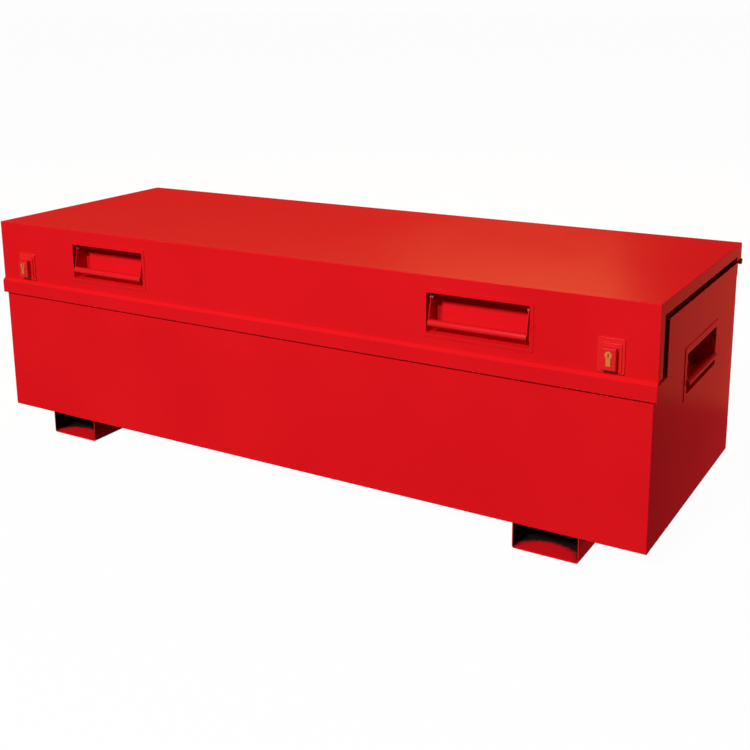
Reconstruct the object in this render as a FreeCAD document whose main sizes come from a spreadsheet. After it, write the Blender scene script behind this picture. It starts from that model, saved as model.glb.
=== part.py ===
import FreeCAD, Part
import os
import re
import Sketcher

# Red steel jobsite storage box: a long chest on two fork channels, with a hinged lid whose deep apron carries
# two locks and two sunk handles. Millimetres. X runs along the box, Y to the back and Z up; the origin lies
# on the ground, in the middle of the overall box.

doc = FreeCAD.newDocument("jobsite_box")

# Driving sizes, each written once, as cells of the sheet
SIZES = [
    ("sheet", 2.0, "panel steel"),
    ("edge_radius", 1.8, "outside of the folded edges"),
    ("overrun", 5.0, "how far a cut runs past what it cuts"),
    ("running_clearance", 0.05, "radial play of pins and plugs in their holes"),
    ("free_clearance", 0.3, "radial play of a shaft through a hole that it doesn't bear on"),
    ("cut_clearance", 0.5, "play round a pan in its panel opening"),

    ("body_length", 1984.0, "chest over the end panels"),
    ("body_depth", 710.0, "chest over the front and rear panels"),
    ("front_height", 385.0, "front panel"),
    ("end_rise", 135.0, "end panels behind the notch, above the front rim"),
    ("corner_return", 20.0, "fold of the front and rear panels round the corners"),
    ("rim_flange", 30.0, "inward fold along the top of the front panel"),
    ("rim_turn", 12.0, "downward turn of that fold"),
    ("notch_depth", 95.0, "front notch of the end panels"),

    ("foot_height", 65.0, "fork channels"),
    ("fork_width", 165.0, "fork channels, outside"),
    ("fork_wall", 4.0, "fork channel steel"),
    ("fork_radius", 6.0, "outside bend of the fork channels"),
    ("fork_inset", 239.0, "middle of a fork channel from the end of the chest"),
    ("fork_setback", 3.0, "fork channel ends behind the panel faces"),

    ("channel_width", 25.0, "rain channel, clear width"),
    ("channel_drop", 60.0, "rain channel, depth behind the panel edge"),
    ("upstand_rise", 40.0, "upstand above the end panels"),
    ("upstand_start", 20.0, "upstand behind the front face"),
    ("channel_end_gap", 6.0, "end of the rain channel to the rear panel"),
    ("seal_width", 9.0, "edge seal across the upstand"),
    ("seal_height", 12.5, "edge seal above the upstand"),

    ("lid_overhang", 8.0, "lid past each end of the chest"),
    ("lid_rise", 190.0, "lid top above the front rim"),
    ("lid_cheek", 30.0, "side cheeks of the lid"),
    ("cheek_rear_leg", 45.0, "deeper rear corner of the cheeks"),
    ("lip_lap", 26.0, "lip below the front rim"),
    ("lip_height", 36.0, "flat of the lip"),
    ("lip_offset", 8.0, "lip in front of the apron"),
    ("joggle_height", 8.0, "slope between apron and lip"),

    ("rib_inset", 150.0, "ends of the lid ribs from the ends of the lid"),
    ("rib_width", 60.0, "lid ribs over the crown"),
    ("rib_height", 22.0, "lid ribs"),
    ("rib_flange", 15.0, "weld flanges of the lid ribs"),
    ("rib_sheet", 1.5, "lid rib steel"),
    ("front_rib_inset", 210.0, "front rib behind the front face"),
    ("rear_rib_inset", 150.0, "rear rib in front of the rear face"),

    ("hinge_drop", 52.0, "hinge axis below the lid top"),
    ("barrel_diameter", 16.0, "hinge knuckles"),
    ("hinge_pin_diameter", 8.0, "hinge pin"),
    ("hinge_pin_inset", 1.0, "ends of the hinge pin inside the last knuckles"),
    ("leaf_thickness", 3.0, "hinge leaves"),
    ("leaf_height", 38.0, "hinge leaves from the axis"),
    ("knuckle_count", 24.0, "knuckles of both leaves together"),
    ("knuckle_gap", 0.8, "play between knuckles"),
    ("hinge_panel_gap", 3.0, "panel edges to the hinge axis"),

    ("handle_inset", 426.0, "middle of a lid handle from the end of the lid"),
    ("handle_drop", 91.0, "lid handles below the lid top"),
    ("end_handle_share", 0.4585, "rear face to the middle of an end handle, share of the depth"),
    ("end_handle_drop", 174.0, "end handles below the top of the end panels"),
    ("pan_width", 262.0, "handle pan, inside"),
    ("pan_height", 99.0, "handle pan, inside"),
    ("pan_depth", 52.0, "handle pan, inside"),
    ("pan_wall", 1.5, "handle pan steel"),
    ("lid_pan_flange", 9.0, "flange round the lid pans"),
    ("end_pan_flange", 17.0, "flange round the end pans"),
    ("pan_corner", 5.0, "corners of the pan"),
    ("pivot_inset", 17.0, "bail pivot behind the panel face"),
    ("pivot_drop", 15.0, "bail pivot below the pan roof"),
    ("grip_inset", 1.0, "grip behind the panel face"),
    ("grip_rise", 25.0, "grip above the pan floor"),
    ("grip_diameter", 18.0, "grip bar"),
    ("arm_width", 14.0, "bail arms"),
    ("arm_thickness", 2.0, "bail arms"),
    ("arm_gap", 6.0, "bail arms to the pan walls"),
    ("arm_round_share", 0.45, "corner radius of the arms, share of their width"),
    ("bail_pin_diameter", 8.0, "bail pivot pins"),
    ("bail_pin_head", 10.0, "heads of the pivot pins"),
    ("bail_pin_head_height", 3.0, "heads of the pivot pins"),
    ("bail_pin_play", 0.4, "heads of the pivot pins to the arms"),
    ("bail_pin_tail", 4.0, "pivot pins past the pan walls"),

    ("lock_inset", 105.0, "middle of a lock from the end of the lid"),
    ("lock_rise", 68.0, "lock plugs above the front rim"),
    ("plate_width", 62.0, "lock plate"),
    ("plate_above", 35.0, "lock plate above the plug"),
    ("plate_below", 46.0, "lock plate below the plug"),
    ("plate_thickness", 3.0, "lock plate"),
    ("plate_corner", 5.0, "corners of the lock plate"),
    ("plate_round", 1.0, "front edges of the lock plate and its step"),
    ("step_width", 50.0, "raised step of the lock plate"),
    ("step_above", 24.0, "raised step above the plug"),
    ("step_below", 42.0, "raised step below the plug"),
    ("step_thickness", 3.0, "raised step"),
    ("lock_box_width", 33.0, "lock box"),
    ("lock_box_above", 15.0, "lock box above the plug"),
    ("lock_box_below", 35.0, "lock box below the plug"),
    ("lock_box_depth", 14.0, "lock box in front of the step"),
    ("lock_box_wall", 2.5, "lock box steel"),
    ("lock_box_radius", 2.0, "edges of the lock box"),
    ("cylinder_round", 17.0, "round part of the profile cylinder"),
    ("cylinder_stem", 10.0, "stem of the profile cylinder"),
    ("cylinder_below", 24.5, "foot of the stem below the plug"),
    ("cylinder_proud", 2.0, "cylinder in front of the lock box"),
    ("plug_diameter", 12.0, "turning plug"),
    ("keyway_width", 2.4, "key slot"),
    ("keyway_height", 8.5, "key slot"),
    ("keyway_depth", 20.0, "key slot"),
    ("tongue_gap", 4.0, "apron to the tongue"),
    ("tongue_thickness", 4.0, "lock tongue"),
    ("tongue_width", 20.0, "lock tongue"),
    ("tongue_length", 45.0, "lock tongue from the plug axis"),
    ("nut_width", 19.0, "tongue nut across the flats"),
    ("nut_height", 6.0, "tongue nut"),
    ("plug_tail", 2.0, "plug past the nut"),
    ("keeper_start", 17.0, "keeper tab from the plug axis"),
    ("keeper_post", 49.0, "keeper post from the plug axis"),
    ("keeper_foot", 28.0, "keeper foot past the post"),
    ("keeper_steel", 5.0, "keeper"),
    ("keeper_play", 1.5, "locked tongue to the keeper tab"),
    ("keeper_front", 3.0, "keeper behind the apron"),
    ("keeper_depth", 20.0, "keeper, front to back"),

    ("strut_lever", 220.0, "hinge axis to both ends of a gas strut"),
    ("strut_rise_angle", 5.0, "degrees from level to the upper end"),
    ("strut_spread_angle", 76.0, "degrees between the two ends, lid shut"),
    ("strut_inset", 50.0, "strut line inside the end panels"),
    ("tube_start", 20.0, "lower eye to the tube"),
    ("rod_bare", 40.0, "mouth of the tube to the upper eye, lid shut"),
    ("tube_diameter", 22.0, "strut tube"),
    ("tube_wall", 1.5, "strut tube"),
    ("tube_floor", 4.0, "closed end of the tube"),
    ("gland_length", 14.0, "guide at the mouth of the tube"),
    ("rod_diameter", 10.0, "strut rod"),
    ("piston_gap", 8.0, "piston above the closed end of the tube, lid shut"),
    ("piston_play", 0.5, "piston in the tube"),
    ("piston_length", 8.0, "piston"),
    ("eye_diameter", 22.0, "strut eyes"),
    ("eye_thickness", 12.0, "strut eyes"),
    ("neck_diameter", 13.0, "between eye and tube"),
    ("stud_diameter", 10.0, "bracket studs"),
    ("stud_head", 16.0, "heads of the studs"),
    ("stud_head_height", 3.0, "heads of the studs"),
    ("stud_play", 1.0, "eye to stud head and bracket"),
    ("bracket_steel", 4.0, "strut brackets"),
    ("bracket_width", 50.0, "strut brackets, front to back"),
    ("bracket_height", 70.0, "lower strut brackets"),
    ("bracket_foot", 30.0, "weld foot of the upper brackets"),
]

sizes = doc.addObject("Spreadsheet::Sheet", "Sizes")
for row, (name, amount, meaning) in enumerate(SIZES, start=1):
    sizes.set(f"A{row}", name)
    sizes.set(f"B{row}", str(amount))
    sizes.setAlias(f"B{row}", name)
    sizes.set(f"C{row}", meaning)
doc.recompute()

# Places that follow from the sizes
PLACES = {
    "lock_reach": "plate_thickness + step_thickness + lock_box_depth + cylinder_proud",
    "front": "-(body_depth + barrel_diameter - lock_reach) / 2",
    "rear": "front + body_depth",
    "base": "foot_height",
    "side": "body_length / 2",
    "lid_side": "side + lid_overhang",
    "rim": "base + front_height",
    "end_top": "rim + end_rise",
    "top": "rim + lid_rise",
    "ceiling": "top - sheet",
    "hinge_back": "rear + barrel_diameter / 2",
    "hinge_level": "top - hinge_drop",
    "hinge_length": "2 * lid_side",
    "hinge_pin_half": "lid_side - hinge_pin_inset",
    "fork_middle": "side - fork_inset",

    "channel_inner": "side - sheet - channel_width",
    "upstand_front": "front + upstand_start",
    "upstand_top": "end_top + upstand_rise",
    "channel_back": "front + notch_depth + channel_drop",
    "channel_floor": "end_top - channel_drop",
    "channel_end": "rear - sheet - channel_end_gap",

    "lip_front": "front - lip_offset",
    "lip_low": "rim - lip_lap",
    "lip_top": "lip_low + lip_height",
    "apron_low": "lip_top + joggle_height",
    "joggle_shift": "sheet * (sqrt(lip_offset^2 + joggle_height^2) - joggle_height) / lip_offset",
    "rear_flange_low": "hinge_level + hinge_panel_gap",
    "cheek_rear_low": "hinge_level + barrel_diameter / 2 + hinge_panel_gap",

    "knuckle_pitch": "hinge_length / knuckle_count",
    "hinge_bore": "hinge_pin_diameter / 2 + running_clearance",

    "front_rib_middle": "front + front_rib_inset",
    "rear_rib_middle": "rear - rear_rib_inset",

    "handle_middle": "lid_side - handle_inset",
    "handle_level": "top - handle_drop",
    "end_handle_middle": "rear - body_depth * end_handle_share",
    "end_handle_level": "end_top - end_handle_drop",
    "pan_half": "pan_width / 2",
    "pan_rise": "pan_height / 2",
    "pivot_up": "pan_rise - pivot_drop",
    "grip_up": "grip_rise - pan_rise",
    "arm_outside": "pan_half - arm_gap",
    "arm_inside": "arm_outside - arm_thickness",
    "bail_bore": "bail_pin_diameter / 2 + running_clearance",

    "lock_middle": "lid_side - lock_inset",
    "lock_level": "rim + lock_rise",
    "step_face": "plate_thickness + step_thickness",
    "tongue_back": "sheet + tongue_gap",
    "nut_back": "tongue_back + tongue_thickness",
    "plug_end": "nut_back + nut_height + plug_tail",
    "plug_bore": "plug_diameter / 2 + running_clearance",
    "plug_way": "plug_diameter / 2 + free_clearance",
    "keeper_tab": "tongue_width / 2 + keeper_play",
    "keeper_sill": "-lock_rise",

    "strut_line": "side - strut_inset",
    "lower_angle": "strut_spread_angle - strut_rise_angle",
    "lower_back": "hinge_back - strut_lever * cos(lower_angle)",
    "lower_level": "hinge_level - strut_lever * sin(lower_angle)",
    "upper_back": "hinge_back - strut_lever * cos(strut_rise_angle)",
    "upper_level": "hinge_level + strut_lever * sin(strut_rise_angle)",
    "strut_closed": "2 * strut_lever * sin(strut_spread_angle / 2)",
    "strut_tilt": "strut_spread_angle / 2 - strut_rise_angle",
    "tube_end": "strut_closed - rod_bare",
    "tube_bore": "tube_diameter / 2 - tube_wall",
    "stud_bore": "stud_diameter / 2 + running_clearance",
    "piston_low": "tube_start + tube_floor + piston_gap",
}
FUNCTIONS = ("sin", "cos", "sqrt")
UP = FreeCAD.Vector(0, 0, 1)
ALONG = FreeCAD.Vector(1, 0, 0)
BACK = FreeCAD.Vector(0, 1, 0)
RIGHT_ANGLE = 90
HALF_TURN = 180
SAME_PLACE = 1e-6


def formula(text):
    """The same sum with each named place written out and each named size as a cell of the sheet."""
    def spelled(found):
        word = found.group(0)
        if word in FUNCTIONS:
            return word
        if word in PLACES:
            return f"({formula(PLACES[word])})"
        return f"Sizes.{word}"
    return re.sub(r"[a-z_]+", spelled, text)


def amount_of(text):
    """The present value of a sum of named sizes."""
    return float(sizes.evalExpression(formula(text)))


def minus(text):
    return f"-({text})"


def on_side(hand, text):
    """A place along X on the right (hand 1) or mirrored to the left (hand -1)."""
    return text if hand > 0 else minus(text)


# Ways to make a piece

def new_body(label):
    body = doc.addObject("PartDesign::Body", label)
    body.Label = label
    return body


def origin_part(body, role):
    return next(part for part in body.Origin.OriginFeatures if part.Role == role)


def sketch_on(body, plane, offset="0"):
    """An empty sketch on one of the body's own planes; XZ faces forward, so its offset runs to the front."""
    sketch = body.newObject("Sketcher::SketchObject", f"{body.Name}_sketch")
    sketch.AttachmentSupport = [(origin_part(body, plane), "")]
    sketch.MapMode = "FlatFace"
    sketch.setExpression("AttachmentOffset.Base.z", formula(offset))
    return sketch


def hold_point(sketch, geometry, point, across, upward):
    for kind, text in (("DistanceX", across), ("DistanceY", upward)):
        held = Sketcher.Constraint(kind, -1, 1, geometry, point, amount_of(text))
        index = sketch.addConstraint(held)
        sketch.setExpression(f"Constraints[{index}]", formula(text))


def outline(sketch, corners):
    """A closed outline of straight lines, each corner held by two sums of named sizes."""
    places = [FreeCAD.Vector(amount_of(across), amount_of(upward), 0) for across, upward in corners]
    first = sketch.GeometryCount
    count = len(corners)
    for index in range(count):
        sketch.addGeometry(Part.LineSegment(places[index], places[(index + 1) % count]))
    for index in range(count):
        following = first + (index + 1) % count
        sketch.addConstraint(Sketcher.Constraint("Coincident", first + index, 2, following, 1))
    for index, (across, upward) in enumerate(corners):
        hold_point(sketch, first + index, 1, across, upward)


def rectangle(sketch, low, high):
    outline(sketch, [low, (high[0], low[1]), high, (low[0], high[1])])


def circle(sketch, radius, across="0", upward="0"):
    centre = FreeCAD.Vector(amount_of(across), amount_of(upward), 0)
    index = sketch.addGeometry(Part.Circle(centre, FreeCAD.Vector(0, 0, 1), amount_of(radius)))
    hold_point(sketch, index, 3, across, upward)
    held = sketch.addConstraint(Sketcher.Constraint("Radius", index, amount_of(radius)))
    sketch.setExpression(f"Constraints[{held}]", formula(radius))


def extrude(kind, sketch, length, both_ways=False, backwards=False):
    body = sketch.getParentGeoFeatureGroup()
    feature = body.newObject(f"PartDesign::{kind}", f"{body.Name}_{kind.lower()}")
    feature.Profile = sketch
    feature.setExpression("Length", formula(length))
    feature.SideType = "Symmetric" if both_ways else "One side"
    feature.Reversed = backwards
    sketch.Visibility = False
    body.Tip = feature
    return feature


def pad(sketch, length, **settings):
    return extrude("Pad", sketch, length, **settings)


def pocket(sketch, length, **settings):
    return extrude("Pocket", sketch, length, **settings)


def revolve(sketch):
    body = sketch.getParentGeoFeatureGroup()
    feature = body.newObject("PartDesign::Revolution", f"{body.Name}_revolution")
    feature.Profile = sketch
    feature.ReferenceAxis = (sketch, ["V_Axis"])
    feature.Angle = 2 * HALF_TURN
    sketch.Visibility = False
    body.Tip = feature


def mirror(body, features):
    feature = body.newObject("PartDesign::Mirrored", f"{body.Name}_mirrored")
    feature.Originals = features
    feature.MirrorPlane = (origin_part(body, "YZ_Plane"), [""])
    body.Tip = feature


def repeat_along(body, features, length, count):
    feature = body.newObject("PartDesign::LinearPattern", f"{body.Name}_pattern")
    feature.Originals = features
    feature.Direction = (origin_part(body, "X_Axis"), [""])
    feature.setExpression("Length", formula(length))
    feature.setExpression("Occurrences", formula(count))
    body.Tip = feature


def round_edges(body, radius, *wanted):
    """Round every edge that lies at one of the wanted places, each a few coordinates by name."""
    doc.recompute()
    base = body.Tip
    chosen = []
    targets = [{axis: amount_of(text) for axis, text in place.items()} for place in wanted]
    for number, edge in enumerate(base.Shape.Edges, start=1):
        for target in targets:
            corners = [vertex.Point for vertex in edge.Vertexes]
            off = [abs(getattr(corner, axis) - at) for corner in corners for axis, at in target.items()]
            if corners and max(off) < SAME_PLACE:
                chosen.append(f"Edge{number}")
                break
    feature = body.newObject("PartDesign::Fillet", f"{body.Name}_fillet")
    feature.Base = (base, chosen)
    feature.setExpression("Radius", formula(radius))
    body.Tip = feature


def place(piece, across="0", back="0", level="0", axis=UP, angle=0):
    piece.Placement = FreeCAD.Placement(FreeCAD.Vector(0, 0, 0), FreeCAD.Rotation(axis, angle))
    for name, text in (("x", across), ("y", back), ("z", level)):
        piece.setExpression(f"Placement.Base.{name}", formula(text))
    return piece


def block(label, low, high):
    """A plain block between two corners."""
    piece = doc.addObject("Part::Box", label)
    for side, near, far in zip(("Length", "Width", "Height"), low, high):
        piece.setExpression(side, formula(f"{far} - ({near})"))
    return place(piece, *low)


def rod_along_x(label, radius, start, length, back, level):
    """A round bar along X from a start place; a negative length runs to the left."""
    piece = doc.addObject("Part::Cylinder", label)
    leftward = amount_of(length) < 0
    piece.setExpression("Radius", formula(radius))
    piece.setExpression("Height", formula(minus(length) if leftward else length))
    return place(piece, start, back, level, BACK, -RIGHT_ANGLE if leftward else RIGHT_ANGLE)


def fuse(label, pieces):
    piece = doc.addObject("Part::MultiFuse", label)
    piece.Label = label
    piece.Shapes = pieces
    return piece


nodes = []


def keep(piece):
    nodes.append(piece)
    return piece


HANDS = {"left": -1, "right": 1}

# Chest panels: the front and rear panels fold round the corners, the end panels stand between their returns


def corner_wrap(label, face, inward, upper):
    """A panel along X at one face, folded round both corners."""
    inner = f"{face} + ({inward}) * sheet"
    turned = f"{face} + ({inward}) * corner_return"
    body = new_body(label)
    sketch = sketch_on(body, "XY_Plane", "base")
    outline(sketch, [
        ("-side", face), ("side", face), ("side", turned), ("side - sheet", turned),
        ("side - sheet", inner), ("sheet - side", inner), ("sheet - side", turned), ("-side", turned),
    ])
    pad(sketch, f"{upper} - base")
    return keep(body)


front_panel = corner_wrap("front_panel", "front", "1", "rim")
flange = sketch_on(front_panel, "YZ_Plane")
outline(flange, [
    ("front", "rim"), ("front + rim_flange", "rim"), ("front + rim_flange", "rim - rim_turn"),
    ("front + rim_flange - sheet", "rim - rim_turn"), ("front + rim_flange - sheet", "rim - sheet"),
    ("front", "rim - sheet"),
])
pad(flange, "2 * (side - sheet)", both_ways=True)
round_edges(
    front_panel, "edge_radius",
    {"x": "side", "y": "front"}, {"x": "-side", "y": "front"},
    {"y": "front", "z": "base"}, {"y": "front", "z": "rim"},
)

rear_panel = corner_wrap("rear_panel", "rear", "-1", "hinge_level - hinge_panel_gap")
round_edges(rear_panel, "edge_radius", {"x": "side", "y": "rear"}, {"x": "-side", "y": "rear"})

keep(block(
    "floor_panel", ("sheet - side", "front + sheet", "base"),
    ("side - sheet", "rear - sheet", "base + sheet"),
))

PAN_OPENING = ("pan_half + pan_wall + cut_clearance", "pan_rise + pan_wall + cut_clearance")


def opening(sketch, across, upward):
    """The hole that a handle pan is set into."""
    half, rise = PAN_OPENING
    rectangle(
        sketch, (f"{across} - ({half})", f"{upward} - ({rise})"),
        (f"{across} + {half}", f"{upward} + {rise}"),
    )


for name, hand in HANDS.items():
    panel = keep(new_body(f"{name}_end_panel"))
    outer = sketch_on(panel, "YZ_Plane", "side - sheet" if hand > 0 else "-side")
    outline(outer, [
        ("front + corner_return", "base"), ("rear - corner_return", "base"),
        ("rear - corner_return", "end_top"), ("front + notch_depth", "end_top"),
        ("front + notch_depth", "rim"), ("front + corner_return", "rim"),
    ])
    pad(outer, "sheet")
    hole = sketch_on(panel, "YZ_Plane")
    opening(hole, "end_handle_middle", "end_handle_level")
    pocket(hole, "2 * (side + overrun)", both_ways=True)

# Rain channel inside each end: ledge, upstand and the rubber edge that the lid closes on

for name, hand in HANDS.items():
    channel = keep(new_body(f"{name}_rim_channel"))
    upstand = sketch_on(channel, "YZ_Plane", "channel_inner - sheet" if hand > 0 else "-channel_inner")
    outline(upstand, [
        ("upstand_front", "rim"), ("channel_back", "rim"), ("channel_back", "channel_floor"),
        ("channel_end", "channel_floor"), ("channel_end", "upstand_top"), ("upstand_front", "upstand_top"),
    ])
    pad(upstand, "sheet")
    ledge = sketch_on(channel, "YZ_Plane", "channel_inner" if hand > 0 else "sheet - side")
    outline(ledge, [
        ("upstand_front", "rim"), ("channel_back", "rim"), ("channel_back", "channel_floor"),
        ("channel_end", "channel_floor"), ("channel_end", "channel_floor + sheet"),
        ("channel_back - sheet", "channel_floor + sheet"), ("channel_back - sheet", "rim + sheet"),
        ("upstand_front", "rim + sheet"),
    ])
    pad(ledge, "channel_width")

    seal = keep(new_body(f"{name}_rim_seal"))
    middle = on_side(hand, "channel_inner - sheet / 2")
    strip = sketch_on(seal, "YZ_Plane", f"{middle} - seal_width / 2")
    outline(strip, [
        ("upstand_front", "rim + sheet"), ("upstand_front", "upstand_top"), ("channel_end", "upstand_top"),
        ("channel_end", "upstand_top + seal_height"),
        ("upstand_front - seal_height", "upstand_top + seal_height"),
        ("upstand_front - seal_height", "rim + sheet"),
    ])
    pad(strip, "seal_width")
    round_edges(
        seal, "edge_radius",
        {"z": "upstand_top + seal_height", "x": f"{middle} - seal_width / 2"},
        {"z": "upstand_top + seal_height", "x": f"{middle} + seal_width / 2"},
    )

# Fork channels, which are also the feet

for name, hand in HANDS.items():
    channel = keep(new_body(f"{name}_fork_channel"))
    middle = on_side(hand, "fork_middle")
    outer = f"{middle} + fork_width / 2"
    inner = f"{middle} - fork_width / 2"
    section = sketch_on(channel, "XZ_Plane", "-(front + fork_setback)")
    outline(section, [
        (inner, "base"), (inner, "0"), (outer, "0"), (outer, "base"), (f"{outer} - fork_wall", "base"),
        (f"{outer} - fork_wall", "fork_wall"), (f"{inner} + fork_wall", "fork_wall"),
        (f"{inner} + fork_wall", "base"),
    ])
    pad(section, "body_depth - 2 * fork_setback", backwards=True)
    round_edges(channel, "fork_radius", {"x": inner, "z": "0"}, {"x": outer, "z": "0"})

# Continuous hinge: two leaves whose knuckles alternate along one pin


def hinge_leaf(label, upward, first_notch):
    """A leaf below (-1) or above (1) the axis, as long as the chest; its knuckles are cut out of a barrel."""
    body = new_body(label)
    leaf = sketch_on(body, "YZ_Plane")
    leaf_end = f"hinge_level + ({upward}) * leaf_height"
    rectangle(leaf, ("rear", "hinge_level"), ("rear + leaf_thickness", leaf_end))
    pad(leaf, "2 * side", both_ways=True)
    barrel = sketch_on(body, "YZ_Plane")
    circle(barrel, "barrel_diameter / 2", "hinge_back", "hinge_level")
    pad(barrel, "hinge_length", both_ways=True)
    bore = sketch_on(body, "YZ_Plane")
    circle(bore, "hinge_bore", "hinge_back", "hinge_level")
    pocket(bore, "hinge_length + 2 * overrun", both_ways=True)
    notch = sketch_on(body, "XZ_Plane")
    start = f"knuckle_pitch * {first_notch} - (hinge_length + knuckle_gap) / 2"
    near = f"hinge_level + ({upward}) * (barrel_diameter / 2 + knuckle_gap)"
    far = f"hinge_level - ({upward}) * (barrel_diameter / 2 + overrun)"
    rectangle(notch, (start, near), (f"{start} + knuckle_pitch + knuckle_gap", far))
    cut = pocket(notch, "2 * (rear + barrel_diameter + overrun)", both_ways=True)
    repeat_along(body, [cut], "hinge_length - 2 * knuckle_pitch", "knuckle_count / 2")
    return keep(body)


hinge_leaf("hinge_body_leaf", "-1", 1)
hinge_leaf("hinge_lid_leaf", "1", 0)
keep(rod_along_x(
    "hinge_pin", "hinge_pin_diameter / 2", "-hinge_pin_half", "2 * hinge_pin_half",
    "hinge_back", "hinge_level",
))

# Lid shell: top, apron with its stepped-out lip, rear flange and side cheeks

lid = keep(new_body("lid_shell"))
section = sketch_on(lid, "YZ_Plane")
outline(section, [
    ("rear", "rear_flange_low"), ("rear", "top"), ("front", "top"), ("front", "apron_low"),
    ("lip_front", "lip_top"), ("lip_front", "lip_low"), ("lip_front + sheet", "lip_low"),
    ("lip_front + sheet", "lip_top - joggle_shift"), ("front + sheet", "apron_low - joggle_shift"),
    ("front + sheet", "ceiling"), ("rear - sheet", "ceiling"), ("rear - sheet", "rear_flange_low"),
])
pad(section, "2 * lid_side", both_ways=True)
cheek = sketch_on(lid, "YZ_Plane", "lid_side - sheet")
outline(cheek, [
    ("front", "top"), ("rear", "top"), ("rear", "cheek_rear_low"),
    ("rear - cheek_rear_leg", "cheek_rear_low"), ("rear - cheek_rear_leg", "top - lid_cheek"),
    ("front + lid_cheek", "top - lid_cheek"), ("front + lid_cheek", "apron_low"), ("front", "apron_low"),
])
mirror(lid, [pad(cheek, "sheet")])
pan_holes = sketch_on(lid, "XZ_Plane", "overrun - front")
for hand in HANDS.values():
    opening(pan_holes, on_side(hand, "handle_middle"), "handle_level")
pocket(pan_holes, "sheet + 2 * overrun")
plug_holes = sketch_on(lid, "XZ_Plane", "overrun - front")
for hand in HANDS.values():
    circle(plug_holes, "plug_way", on_side(hand, "lock_middle"), "lock_level")
pocket(plug_holes, "sheet + 2 * overrun")
round_edges(
    lid, "edge_radius",
    {"y": "front", "z": "top"}, {"y": "rear", "z": "top"}, {"x": "lid_side", "z": "top"},
    {"x": "-lid_side", "z": "top"}, {"x": "lid_side", "y": "front"}, {"x": "-lid_side", "y": "front"},
    {"x": "lid_side", "y": "rear"}, {"x": "-lid_side", "y": "rear"},
)

# Stiffening ribs welded under the lid top

for name in ("front", "rear"):
    rib = keep(new_body(f"lid_{name}_rib"))
    middle = f"{name}_rib_middle"
    half = "rib_width / 2"
    section = sketch_on(rib, "YZ_Plane")
    outline(section, [
        (f"{middle} - {half} - rib_flange", "ceiling"), (f"{middle} - {half} + rib_sheet", "ceiling"),
        (f"{middle} - {half} + rib_sheet", "ceiling - rib_height + rib_sheet"),
        (f"{middle} + {half} - rib_sheet", "ceiling - rib_height + rib_sheet"),
        (f"{middle} + {half} - rib_sheet", "ceiling"), (f"{middle} + {half} + rib_flange", "ceiling"),
        (f"{middle} + {half} + rib_flange", "ceiling - rib_sheet"),
        (f"{middle} + {half}", "ceiling - rib_sheet"), (f"{middle} + {half}", "ceiling - rib_height"),
        (f"{middle} - {half}", "ceiling - rib_height"), (f"{middle} - {half}", "ceiling - rib_sheet"),
        (f"{middle} - {half} - rib_flange", "ceiling - rib_sheet"),
    ])
    pad(section, "2 * (lid_side - rib_inset)", both_ways=True)

# Sunk handles: a pressed pan in its panel, a bail that hangs in it and the bail's two pivot pins


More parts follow.
